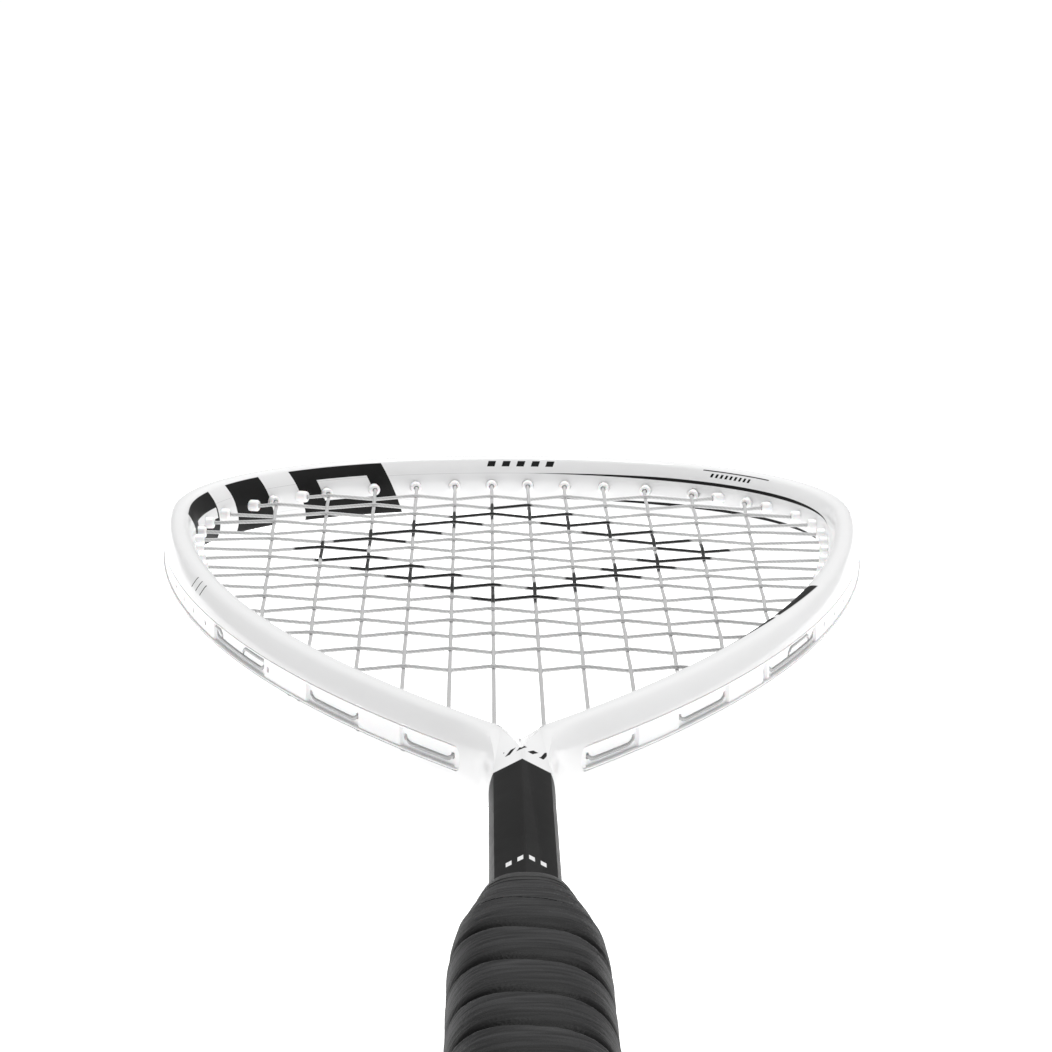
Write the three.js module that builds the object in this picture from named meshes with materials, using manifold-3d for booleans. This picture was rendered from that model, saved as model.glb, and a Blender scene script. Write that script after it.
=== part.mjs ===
// Squash racket, in millimetres. The long axis is +Y, from the flat end of the butt cap at the origin
// to the tip of the head. The string plane is z = 0 and +Z is its normal, so the racket lies flat.
import * as THREE from "three";
import { mergeVertices } from "three/addons/utils/BufferGeometryUtils.js";
import Module from "manifold-3d";

// ---- Driving dimensions ----
const GAP = 0.3; // clearance between pieces that touch

// Centre line of the right half of the hoop: a long flank, then a rounder tip.
const THROAT_POINT = [5.6, 303.4];
const FLANK_ANGLE = THREE.MathUtils.degToRad(35.57); // flank direction at the throat, from +Y
const FLANK_REACH = 156;
const SIDE_X = 102.69;
const SIDE_Y = 590.7;
const SIDE_REACH_DOWN = 26;
const SIDE_REACH_UP = 46.4;
const TIP_Y = 680.16;
const TIP_REACH = 67.7;

// Hoop and shaft tube.
const TUBE_WIDTH = 10; // in the string plane
const TUBE_HEIGHT = 18.5; // the beam, across the string plane
const TUBE_WALL = 1.3;
const CHAMFER_WIDTH = 2.9;
const CHAMFER_HEIGHT = 5.2;
const CHAMFER_STEPS = 1;
const HOOP_STEPS = 26;
const SHAFT_HALF_WIDTH = 7.6;
const SHAFT_END_Y = 3.8;
const NECK_Y = 276; // the straight shaft begins to widen into the throat
const NECK_BLEND = 16; // how far the widening runs along the flank
const CROTCH_BLEND = 2.4;
const RIDGE_SLOPE = 0.52; // the shaft falls to each side from a ridge along its top and bottom
const RIDGE_END_Y = 268; // the slopes fade out from here to the throat
const RIDGE_FADE_Y = 300;
const VALLEY_START_Y = 281; // past the ridge the throat dips between the two flanks
const VALLEY_END_Y = 306;
const VALLEY_DEPTH = 3.5;
const VALLEY_HALF_WIDTH = 6.2;

// Channel round the outside of the hoop, and the grommet strips in it.
const CHANNEL_DEPTH = 3;
const CHANNEL_HALF_HEIGHT = 3.1;
const CHANNEL_START = 0.016; // fraction of the half hoop, from the throat
const BUMPER_START = 0.72;
const STRIP_BASE = 0.9;
const STRIP_LIP = 0.6;
const BUMPER_PROUD = 0.8;
const BUMPER_HALF_HEIGHT = 3.6;
const BARREL_RADIUS = 1.9;
const BARREL_STANDS_IN = 2.6; // beyond the hoop's inner face
const BORE_RADIUS = 0.98;

// String bed.
const STRING_RADIUS = 0.575;
const WEAVE = 0.72; // how far a string leaves the string plane at each crossing
const LOOP_OFFSET = 1.45; // in the channel, mains run below the middle and crosses above it
const LOOP_TURN = 1.4; // how far along the channel a string takes to reach that offset
const STRING_SIDES = 5;
const MAIN_TIP_X = [6, 18.2, 31, 44.6, 59.7, 76.1]; // from the middle outwards
const MAIN_THROAT_X = [6.1, 17.4, 29.5, 41.8, 55.2, 70];
const CROSS_Y = [
  651.5, 635.5, 620, 606, 590.5, 577.5, 564, 549, 535.5, 522.5, 508.5, 492, 476, 460.5, 444, 424.5,
  403.5,
];

// Handle: half width and half depth of the wrapped handle at stations along Y.
const HANDLE_STATIONS = [
  [0, 17.4, 15.2],
  [8, 18, 15.8],
  [20, 17, 14.9],
  [36, 15.9, 14],
  [134, 15.8, 13.8],
  [147, 15.1, 13.4],
  [158, 13.6, 12.6],
  [168, 11.6, 11.6],
  [176, 10, 11.1],
];
const OVAL_POWER = 2.6;
const HANDLE_SIDES = 16;
const GRIP_THICKNESS = 1.9;
const GRIP_START_Y = 2.3;
const GRIP_END_Y = 168;
const COLLAR_START_Y = 168.3;
const COLLAR_END_Y = 176;
const COLLAR_STEP = 0.2;
const CAP_FLOOR = 3.2;
const CAP_SKIRT = 1.5;
const CAP_SKIRT_END_Y = 24;
const SHELL_END_Y = 154;
const STAPLE_Y = 16;
const STAPLE_SPAN = 9;
const STAPLE_WIRE = 0.9;
const STAPLE_TOP = 12.65;
const STAPLE_LEG = 2.75;

// ---- Materials: colour, roughness, metalness ----
const LOOKS = {
  frame: [0xf2f2f2, 0.25, 0],
  bumper: [0xf4f4f2, 0.45, 0],
  strip: [0xf0f0ee, 0.4, 0],
  string: [0xdededc, 0.35, 0],
  grip: [0x3c3c3e, 0.6, 0],
  collar: [0x232324, 0.7, 0],
  cap: [0x1c1c1d, 0.45, 0],
  shell: [0x8c857a, 0.8, 0],
  staple: [0xb8b8ba, 0.3, 1],
};

// ---- Solids ----
const wasm = await Module();
wasm.setup();

function solid(geometry) {
  const bare = geometry.clone();
  bare.deleteAttribute("normal");
  bare.deleteAttribute("uv");
  const merged = mergeVertices(bare, 1e-4);
  const mesh = new wasm.Mesh({
    numProp: 3,
    vertProperties: merged.attributes.position.array,
    triVerts: new Uint32Array(merged.index.array),
  });
  return new wasm.Manifold(mesh);
}

function geometryOf(manifold) {
  const mesh = manifold.getMesh();
  const geometry = new THREE.BufferGeometry();
  geometry.setAttribute("position", new THREE.BufferAttribute(mesh.vertProperties, 3));
  geometry.setIndex(new THREE.BufferAttribute(mesh.triVerts, 1));
  geometry.computeVertexNormals();
  return geometry;
}

function union(solids) {
  return solids.reduce((whole, next) => whole.add(next));
}

const racket = new THREE.Group();

function addPiece(name, look, geometry) {
  const [color, roughness, metalness] = LOOKS[look];
  const material = new THREE.MeshStandardMaterial({ color, roughness, metalness });
  const mesh = new THREE.Mesh(geometry, material);
  mesh.name = name;
  racket.add(mesh);
}

// ---- The hoop's centre line and its offsets ----
const vector2 = ([x, y]) => new THREE.Vector2(x, y);
const flankDirection = new THREE.Vector2(Math.sin(FLANK_ANGLE), Math.cos(FLANK_ANGLE));
const halfHoop = new THREE.CurvePath();
halfHoop.add(
  new THREE.CubicBezierCurve(
    vector2(THROAT_POINT),
    vector2(THROAT_POINT).addScaledVector(flankDirection, FLANK_REACH),
    new THREE.Vector2(SIDE_X, SIDE_Y - SIDE_REACH_DOWN),
    new THREE.Vector2(SIDE_X, SIDE_Y),
  ),
);
halfHoop.add(
  new THREE.CubicBezierCurve(
    new THREE.Vector2(SIDE_X, SIDE_Y),
    new THREE.Vector2(SIDE_X, SIDE_Y + SIDE_REACH_UP),
    new THREE.Vector2(TIP_REACH, TIP_Y),
    new THREE.Vector2(0, TIP_Y),
  ),
);

function hoopNormal(along) {
  if (along >= 1) return new THREE.Vector2(0, 1);
  const tangent = halfHoop.getTangentAt(along);
  return new THREE.Vector2(tangent.y, -tangent.x);
}

// A point at a distance outside the centre line; side is 1 on the right and -1 on the left.
function hoopPoint(along, outside, side = 1) {
  const point = halfHoop.getPointAt(along).addScaledVector(hoopNormal(along), outside);
  return new THREE.Vector2(point.x * side, point.y);
}

// Both ends of a stretch and the shared steps between them, so that nested pieces bend together.
function hoopPoints(from, to, outside, side = 1) {
  const steps = Array.from({ length: HOOP_STEPS + 1 }, (_, i) => i / HOOP_STEPS);
  const between = steps.filter((along) => along > from + 1e-3 && along < to - 1e-3);
  return [from, ...between, to].map((along) => hoopPoint(along, outside, side));
}

// The right-hand points, then their mirror image back down the left side.
function mirrored(points) {
  const left = points.filter((p) => p.x > 1e-6).map((p) => new THREE.Vector2(-p.x, p.y));
  return [...points, ...left.reverse()];
}

function quadratic(start, control, end, steps) {
  return new THREE.QuadraticBezierCurve(start, control, end).getPoints(steps);
}

// Outline of the hoop, neck and shaft at a distance inside the tube's outer surface.
function outerOutline(hoopInset, shaftInset, endY) {
  const shaftX = SHAFT_HALF_WIDTH - shaftInset;
  const blendStart = NECK_BLEND / halfHoop.getLength();
  const flank = hoopPoints(blendStart, 1, TUBE_WIDTH / 2 - hoopInset);
  const corner = flank[0];
  const rise = (corner.x - shaftX) / Math.tan(FLANK_ANGLE);
  const control = new THREE.Vector2(shaftX, corner.y - rise);
  const neck = quadratic(new THREE.Vector2(shaftX, NECK_Y), control, corner, 4);
  return mirrored([new THREE.Vector2(shaftX, endY), ...neck.slice(0, -1), ...flank]);
}

// Outline of the opening inside the hoop, with its crotch rounded at the throat.
function innerOutline(inset) {
  const offset = -TUBE_WIDTH / 2 + inset;
  const flank = hoopPoints(0, 1, offset).filter((p) => p.x > CROTCH_BLEND || p.y > SIDE_Y);
  const first = flank[0];
  const crotch = new THREE.Vector2(0, first.y - first.x / Math.tan(FLANK_ANGLE));
  const bend = quadratic(new THREE.Vector2(-first.x, first.y), crotch, first, 4);
  return mirrored([...bend.slice(2, -1), ...flank]);
}

// A plate with this outline and hole, centred on the string plane, with chamfered edges.
function plate(outline, hole, height, chamferWidth = 0, chamferHeight = 0) {
  const shape = new THREE.Shape(outline);
  if (hole) shape.holes.push(new THREE.Path(hole));
  const depth = height - 2 * chamferHeight;
  const geometry = new THREE.ExtrudeGeometry(shape, {
    depth,
    bevelEnabled: chamferWidth > 0,
    bevelSize: chamferWidth,
    bevelThickness: chamferHeight,
    bevelOffset: -chamferWidth,
    bevelSegments: CHAMFER_STEPS,
  });
  return solid(geometry.translate(0, 0, -depth / 2));
}

// A strip along the hoop between two offsets, from one place on the half hoop to another. A strip
// that reaches the tip crosses it to the same place on the other side.
function hoopBand(from, to, inside, outside, low, high, side = 1) {
  const outer = hoopPoints(from, to, outside, side);
  const inner = hoopPoints(from, to, inside, side);
  const outline =
    to === 1 ? [...mirrored(outer), ...mirrored(inner).reverse()] : [...outer, ...inner.reverse()];
  const geometry = new THREE.ExtrudeGeometry(new THREE.Shape(outline), {
    depth: high - low,
    bevelEnabled: false,
  });
  return solid(geometry.translate(0, 0, low));
}

// A rod between two points of the string plane.
function rod(start, end, radius, sides) {
  const direction = new THREE.Vector3(end.x - start.x, end.y - start.y, 0);
  const geometry = new THREE.CylinderGeometry(radius, radius, direction.length(), sides);
  geometry.rotateY(Math.PI / sides);
  const turn = new THREE.Quaternion().setFromUnitVectors(
    new THREE.Vector3(0, 1, 0),
    direction.clone().normalize(),
  );
  geometry.applyQuaternion(turn);
  return solid(geometry.translate((start.x + end.x) / 2, (start.y + end.y) / 2, 0));
}

// What lies beyond the slopes of the shaft's ridge, on one side above or below the string plane.
function ridgeCut(side, upper, rise) {
  const top = TUBE_HEIGHT / 2 + rise;
  const edge = SHAFT_HALF_WIDTH + 1;
  const foot = top - RIDGE_SLOPE * edge;
  const points = [
    [0, -1, top],
    [edge, -1, foot],
    [0, RIDGE_END_Y, top],
    [edge, RIDGE_END_Y, foot],
    [0, RIDGE_FADE_Y, top],
    [2 * edge, RIDGE_FADE_Y, top],
    [edge, -1, top + 1],
    [0, -1, top + 1],
    [2 * edge, RIDGE_FADE_Y, top + 1],
    [0, RIDGE_FADE_Y, top + 1],
  ];
  return wasm.Manifold.hull(points.map(([x, y, z]) => [x * side, y, z * upper]));
}

function ridgeCuts(rise) {
  return union([1, -1].flatMap((side) => [ridgeCut(side, 1, rise), ridgeCut(side, -1, rise)]));
}

// The dip of the throat between the flanks, above or below the string plane.
function valleyCut(upper) {
  const top = TUBE_HEIGHT / 2;
  const rim = [
    [0, VALLEY_START_Y],
    [VALLEY_HALF_WIDTH, VALLEY_END_Y],
    [-VALLEY_HALF_WIDTH, VALLEY_END_Y],
  ];
  const points = rim.flatMap(([x, y]) => [
    [x, y, top * upper],
    [x, y, (top + 1) * upper],
  ]);
  return wasm.Manifold.hull([...points, [0, VALLEY_END_Y, (top - VALLEY_DEPTH) * upper]]);
}

// ---- Where each string passes through the hoop ----
const INNER_FACE = -TUBE_WIDTH / 2;
const OUTER_FACE = TUBE_WIDTH / 2;
const MOUTH = INNER_FACE - BARREL_STANDS_IN - 0.6; // a string turns just outside its barrel
const STRIP_FLOOR = OUTER_FACE - CHANNEL_DEPTH + GAP;
const STRIP_TOP = STRIP_FLOOR + STRIP_BASE;
const LOOP_LINE = STRIP_TOP + 0.2 + STRING_RADIUS;

// The place along the half hoop where the line of string mouths meets x or y.
function placeAlong(axis, value, from, to) {
  let low = from;
  let high = to;
  const rising = hoopPoint(to, MOUTH)[axis] > hoopPoint(from, MOUTH)[axis];
  for (let i = 0; i < 40; i += 1) {
    const middle = (low + high) / 2;
    if (hoopPoint(middle, MOUTH)[axis] < value === rising) low = middle;
    else high = middle;
  }
  return (low + high) / 2;
}

// A passage through the hoop: its axis halves the turn between the string and the tube's normal,
// or is the normal itself where no string direction is given.
function passage(along, side, stringDirection) {
  const mouth = hoopPoint(along, MOUTH, side);
  const normal = hoopNormal(along);
  normal.x *= side;
  const axis = normal.clone().add(stringDirection ?? normal).normalize();
  const slant = axis.dot(normal);
  const at = (outside) => mouth.clone().addScaledVector(axis, (outside - MOUTH) / slant);
  return { along, side, mouth, at };
}

const WIDEST = 0.62; // near the widest place of the half hoop
const UP = new THREE.Vector2(0, 1);
function makeMain(i, side) {
  const throatAlong = placeAlong("x", MAIN_THROAT_X[i], 0, WIDEST);
  const tipAlong = placeAlong("x", MAIN_TIP_X[i], WIDEST, 1);
  return { throat: passage(throatAlong, side), tip: passage(tipAlong, side, UP) };
}

function makeCross(y) {
  const along = placeAlong("y", y, 0, 1);
  const [left, right] = [-1, 1].map((side) => passage(along, side, new THREE.Vector2(side, 0)));
  return { y, left, right };
}

const mains = [
  ...MAIN_TIP_X.map((_, i) => makeMain(i, -1)).reverse(),
  ...MAIN_TIP_X.map((_, i) => makeMain(i, 1)),
];
const crosses = CROSS_Y.map(makeCross);
const passages = [
  ...mains.flatMap((main) => [main.throat, main.tip]),
  ...crosses.flatMap((cross) => [cross.left, cross.right]),
];

// ---- Frame: one hollow moulding of hoop, throat and shaft ----
function makeFrame() {
  const body = plate(
    outerOutline(0, 0, SHAFT_END_Y),
    innerOutline(0),
    TUBE_HEIGHT,
    CHAMFER_WIDTH,
    CHAMFER_HEIGHT,
  );
  const boreX = SHAFT_HALF_WIDTH - TUBE_WALL;
  const boreTop = TUBE_HEIGHT / 2 - TUBE_WALL * Math.hypot(1, RIDGE_SLOPE);
  const boreSide = boreTop - RIDGE_SLOPE * boreX;
  const bore = [1, -1].flatMap((upper) => [
    [0, boreTop * upper],
    [boreX, boreSide * upper],
    [-boreX, boreSide * upper],
  ]);
  const boreEnds = [SHAFT_END_Y - 5, NECK_Y];
  const cavity = wasm.Manifold.hull(boreEnds.flatMap((y) => bore.map(([x, z]) => [x, y, z])));
  const channel = hoopBand(
    CHANNEL_START,
    1,
    OUTER_FACE - CHANNEL_DEPTH,
    OUTER_FACE + 3,
    -CHANNEL_HALF_HEIGHT,
    CHANNEL_HALF_HEIGHT,
  );
  const holes = passages.map((p) =>
    rod(p.at(INNER_FACE - 2), p.at(OUTER_FACE - CHANNEL_DEPTH + 1), BARREL_RADIUS + GAP, 6),
  );
  const slopes = [ridgeCuts(0), valleyCut(1), valleyCut(-1)];
  return body.subtract(union([cavity, channel, ...slopes, ...holes]));
}

// ---- Grommet strips and bumper: a base and two lips in the channel, with a barrel for each string ----
const STRIP_HALF_HEIGHT = CHANNEL_HALF_HEIGHT - GAP;
const LIP_INSIDE = STRIP_HALF_HEIGHT - STRIP_LIP;

function withBarrels(strip, held) {
  const barrels = held.map((p) =>
    rod(p.at(MOUTH + 0.6), p.at(STRIP_FLOOR + STRIP_BASE / 2), BARREL_RADIUS, 6),
  );
  const bores = held.map((p) => rod(p.at(MOUTH - 1), p.at(STRIP_TOP + 1), BORE_RADIUS, 6));
  return union([strip, ...barrels]).subtract(union(bores));
}

// One layer of a strip, and the same layer mirrored through the string plane.
function layerPair(from, to, inside, outside, low, high, side) {
  return [
    hoopBand(from, to, inside, outside, low, high, side),
    hoopBand(from, to, inside, outside, -high, -low, side),
  ];
}

function makeStrip(side) {
  const from = CHANNEL_START + 0.001;
  const to = BUMPER_START - 0.001;
  const lipTop = OUTER_FACE - GAP;
  const base = hoopBand(
    from,
    to,
    STRIP_FLOOR,
    STRIP_TOP,
    -STRIP_HALF_HEIGHT,
    STRIP_HALF_HEIGHT,
    side,
  );
  const lips = layerPair(from, to, STRIP_FLOOR, lipTop, LIP_INSIDE, STRIP_HALF_HEIGHT, side);
  const held = passages.filter((p) => p.side === side && p.along < BUMPER_START);
  return withBarrels(union([base, ...lips]), held);
}

function makeBumper() {
  const from = BUMPER_START;
  const top = OUTER_FACE + BUMPER_PROUD;
  const base = hoopBand(from, 1, STRIP_FLOOR, STRIP_TOP, -STRIP_HALF_HEIGHT, STRIP_HALF_HEIGHT);
  const lips = layerPair(from, 1, STRIP_FLOOR, top, LIP_INSIDE, STRIP_HALF_HEIGHT);
  const flanges = layerPair(from, 1, OUTER_FACE + GAP, top, LIP_INSIDE, BUMPER_HALF_HEIGHT);
  const held = passages.filter((p) => p.along >= BUMPER_START);
  return withBarrels(union([base, ...lips, ...flanges]), held);
}

// ---- Strings ----
// A path through a list of points, whose rings fall on the points themselves.
class PointPath extends THREE.Curve {
  constructor(points) {
    super();
    this.points = points;
  }

  getPoint(t) {
    const place = t * (this.points.length - 1);
    const i = Math.min(Math.floor(place), this.points.length - 2);
    return this.points[i].clone().lerp(this.points[i + 1], place - i);
  }

  getPointAt(u) {
    return this.getPoint(u);
  }

  getTangentAt(u) {
    const last = this.points.length - 1;
    const i = Math.round(u * last);
    const sum = new THREE.Vector3();
    for (const j of [i, i + 1]) {
      if (j < 1 || j > last) continue;
      sum.add(this.points[j].clone().sub(this.points[j - 1]).normalize());
    }
    return sum.normalize();
  }
}

function stringAlong(points) {
  const corners = Array.from({ length: STRING_SIDES }, (_, i) => {
    const angle = (2 * Math.PI * (i + 0.5)) / STRING_SIDES;
    return new THREE.Vector2(Math.cos(angle), Math.sin(angle)).multiplyScalar(STRING_RADIUS);
  });
  return new THREE.ExtrudeGeometry(new THREE.Shape(corners), {
    steps: points.length - 1,
    bevelEnabled: false,
    extrudePath: new PointPath(points),
  });
}

const raised = (point, z) => new THREE.Vector3(point.x, point.y, z);

// Distance along the channel from the tip, in half hoops: negative on the left, positive on the right.
function channelPlace(p) {
  const target = p.at(LOOP_LINE);
  let { along } = p;
  for (let i = 0; i < 6; i += 1) {
    const normal = hoopNormal(along);
    const tangent = new THREE.Vector2(-normal.y * p.side, normal.x);
    const miss = target.clone().sub(hoopPoint(along, LOOP_LINE, p.side));
    along += miss.dot(tangent) / halfHoop.getLength();
  }
  return (1 - along) * p.side;
}

// The stretch in the channel from one passage to the next.
function loop(start, end, z) {
  const from = channelPlace(start);
  const to = channelPlace(end);
  const turn = (Math.sign(to - from) * LOOP_TURN) / halfHoop.getLength();
  const first = from + turn;
  const last = to - turn;
  const steps = Array.from({ length: 2 * HOOP_STEPS + 1 }, (_, i) => i / HOOP_STEPS - 1);
  const between = steps.filter((place) => (place - first) * (place - last) < 0);
  if (turn < 0) between.reverse();
  return [first, ...between, last].map((place) =>
    raised(hoopPoint(1 - Math.abs(place), LOOP_LINE, Math.sign(place) || 1), z),
  );
}

// A run of string: out of one passage, across the bed over and under, into the other, and on round
// the outside of the hoop to the next run. A free end stops inside its barrel.
function makeRun(start, end, crossings, z, isFirst, next) {
  const startDepth = isFirst ? STRIP_TOP - 0.5 : LOOP_LINE;
  const endDepth = next ? LOOP_LINE : STRIP_TOP - 0.5;
  const points = [
    raised(start.at(startDepth), 0),
    raised(start.mouth, 0),
    ...crossings,
    raised(end.mouth, 0),
    raised(end.at(endDepth), 0),
  ];
  if (next) points.push(...loop(end, next, z));
  return stringAlong(points);
}

function crossingPoint(mainIndex, crossIndex, isMain) {
  const { throat, tip } = mains[mainIndex];
  const { y, right } = crosses[crossIndex];
  const part = (y - throat.mouth.y) / (tip.mouth.y - throat.mouth.y);
  const x = throat.mouth.x + (tip.mouth.x - throat.mouth.x) * part;
  if (part <= 0 || part >= 1 || Math.abs(x) >= right.mouth.x) return null;
  const mainIsAbove = (mainIndex + crossIndex) % 2 === 0;
  return new THREE.Vector3(x, y, mainIsAbove === isMain ? WEAVE : -WEAVE);
}

const pieceNumber = (i) => String(i + 1).padStart(2, "0");

function addMains() {
  mains.forEach((main, i) => {
    const toTip = i % 2 === 1;
    const [start, end] = toTip ? [main.throat, main.tip] : [main.tip, main.throat];
    const crossings = crosses.map((_, k) => crossingPoint(i, k, true)).filter(Boolean);
    if (toTip) crossings.reverse();
    const next = i + 1 < mains.length ? mains[i + 1][toTip ? "tip" : "throat"] : null;
    const run = makeRun(start, end, crossings, -LOOP_OFFSET, i === 0, next);
    addPiece(`main_string_${pieceNumber(i)}`, "string", run);
  });
}

function addCrosses() {
  crosses.forEach((cross, k) => {
    const toRight = k % 2 === 0;
    const [start, end] = toRight ? [cross.left, cross.right] : [cross.right, cross.left];
    const crossings = mains.map((_, i) => crossingPoint(i, k, false)).filter(Boolean);
    if (!toRight) crossings.reverse();
    const next = k + 1 < crosses.length ? crosses[k + 1][toRight ? "right" : "left"] : null;
    const run = makeRun(start, end, crossings, LOOP_OFFSET, k === 0, next);
    addPiece(`cross_string_${pieceNumber(k)}`, "string", run);
  });
}

// ---- Handle ----
// Half width (1) or half depth (2) of the wrapped handle at y.
function handleHalf(y, column) {
  const after = HANDLE_STATIONS.findIndex((station) => station[0] >= y);
  if (after <= 0) return HANDLE_STATIONS[after === 0 ? 0 : HANDLE_STATIONS.length - 1][column];
  const [low, high] = [HANDLE_STATIONS[after - 1], HANDLE_STATIONS[after]];
  const part = (y - low[0]) / (high[0] - low[0]);
  return low[column] + (high[column] - low[column]) * part;
}

// Profile points at an inset from the wrapped handle's surface, at both ends and the stations between.
function handleProfile(fromY, toY, inset) {
  const between = HANDLE_STATIONS.map(([y]) => y).filter((y) => y > fromY && y < toY);
  return [fromY, ...between, toY].map((y) => new THREE.Vector2(handleHalf(y, 1) - inset, y));
}

// A turned solid, with each of its rings then pressed to the handle's flattened oval.
function handleSolid(profile) {
  const geometry = new THREE.LatheGeometry(profile, HANDLE_SIDES);
  const position = geometry.attributes.position;
  for (let i = 0; i < position.count; i += 1) {
    const x = position.getX(i);
    const y = position.getY(i);
    const z = position.getZ(i);
    const radius = Math.hypot(x, z);
    if (radius < 1e-6) continue;
    const [halfWidth, halfDepth] = [handleHalf(y, 1), handleHalf(y, 2)];
    const depth =
      radius > halfWidth / 2 ? halfDepth - halfWidth + radius : (radius * halfDepth) / halfWidth;
    const [across, up] = [x / radius, z / radius];
    const oval = (Math.abs(across) ** OVAL_POWER + Math.abs(up) ** OVAL_POWER) ** (-1 / OVAL_POWER);
    position.setXYZ(i, radius * oval * across, y, depth * oval * up);
  }
  return solid(geometry);
}

function block(width, length, height, x, y, z) {
  return solid(new THREE.BoxGeometry(width, length, height).translate(x, y, z));
}

// The shaft's own section with clearance all round, to be cut from what is fitted on it.
function makeShaftRoom() {
  const x = SHAFT_HALF_WIDTH + GAP;
  const startY = SHAFT_END_Y - GAP;
  const outline = [
    new THREE.Vector2(-x, startY),
    new THREE.Vector2(x, startY),
    new THREE.Vector2(x, NECK_Y),
    new THREE.Vector2(-x, NECK_Y),
  ];
  const room = plate(outline, null, TUBE_HEIGHT + 2 * GAP, CHAMFER_WIDTH, CHAMFER_HEIGHT);
  return room.subtract(ridgeCuts(GAP * Math.hypot(1, RIDGE_SLOPE)));
}

const shaftRoom = makeShaftRoom();
const axisPoint = (y) => new THREE.Vector2(0, y);
const UNDER_GRIP = GRIP_THICKNESS + GAP;
const UNDER_CAP = UNDER_GRIP + CAP_SKIRT + GAP;

function makeStaple(swell, side) {
  const wire = STAPLE_WIRE + 2 * swell;
  const legX = (STAPLE_SPAN - STAPLE_WIRE) / 2;
  const crownZ = side * (STAPLE_TOP - STAPLE_WIRE / 2);
  const legZ = side * (STAPLE_TOP - STAPLE_LEG / 2);
  const crown = block(STAPLE_SPAN + 2 * swell, wire, wire, 0, STAPLE_Y, crownZ);
  const legs = [-legX, legX].map((x) =>
    block(wire, wire, STAPLE_LEG + 2 * swell, x, STAPLE_Y, legZ),
  );
  return union([crown, ...legs]);
}

function makeButtCap(staplePockets) {
  const rim = handleHalf(GRIP_START_Y, 1);
  const cap = handleSolid([
    axisPoint(0),
    new THREE.Vector2(rim - 2, 0),
    new THREE.Vector2(rim - 0.5, 0.8),
    new THREE.Vector2(rim, GRIP_START_Y - GAP),
    ...handleProfile(GRIP_START_Y - GAP, CAP_SKIRT_END_Y, UNDER_GRIP),
    ...handleProfile(CAP_FLOOR, CAP_SKIRT_END_Y, UNDER_GRIP + CAP_SKIRT).reverse(),
    axisPoint(CAP_FLOOR),
  ]);
  return cap.subtract(staplePockets);
}

function makeShell(side, staplePockets) {
  const step = CAP_SKIRT_END_Y + GAP;
  const core = handleSolid([
    axisPoint(CAP_FLOOR + GAP),
    ...handleProfile(CAP_FLOOR + GAP, step, UNDER_CAP),
    ...handleProfile(step, SHELL_END_Y, UNDER_GRIP),
    axisPoint(SHELL_END_Y),
  ]);
  const half = block(60, 400, 40, 0, 100, side * (20 + GAP / 2));
  return core.subtract(shaftRoom).subtract(staplePockets).intersect(half);
}

function makeGrip() {
  const grip = handleSolid([
    axisPoint(SHELL_END_Y + GAP),
    ...handleProfile(GRIP_START_Y, SHELL_END_Y + GAP, GRIP_THICKNESS).reverse(),
    ...handleProfile(GRIP_START_Y, GRIP_END_Y, 0),
    axisPoint(GRIP_END_Y),
  ]);
  return grip.subtract(shaftRoom);
}

function makeCollar() {
  const collar = handleSolid([
    axisPoint(COLLAR_START_Y),
    ...handleProfile(COLLAR_START_Y, COLLAR_END_Y, COLLAR_STEP),
    axisPoint(COLLAR_END_Y),
  ]);
  return collar.subtract(shaftRoom);
}

// ---- Assembly ----
addPiece("frame", "frame", geometryOf(makeFrame()));
addPiece("head_bumper", "bumper", geometryOf(makeBumper()));
addPiece("grommet_strip_left", "strip", geometryOf(makeStrip(-1)));
addPiece("grommet_strip_right", "strip", geometryOf(makeStrip(1)));
addMains();
addCrosses();
const staplePockets = union([makeStaple(GAP - 0.05, 1), makeStaple(GAP - 0.05, -1)]);
addPiece("butt_cap", "cap", geometryOf(makeButtCap(staplePockets)));
addPiece("cap_staple_upper", "staple", geometryOf(makeStaple(0, 1)));
addPiece("cap_staple_lower", "staple", geometryOf(makeStaple(0, -1)));
addPiece("handle_shell_upper", "shell", geometryOf(makeShell(1, staplePockets)));
addPiece("handle_shell_lower", "shell", geometryOf(makeShell(-1, staplePockets)));
addPiece("grip", "grip", geometryOf(makeGrip()));
addPiece("grip_collar", "collar", geometryOf(makeCollar()));

export default racket;
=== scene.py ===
"""Squash racket: fine meshes, materials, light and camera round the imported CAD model.

Lengths are in metres. +Y runs from the butt to the tip of the head and the string plane is z = 0.
"""

import math
from collections import namedtuple

import bmesh
import bpy
import numpy as np
from mathutils import Matrix, Vector, noise


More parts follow.
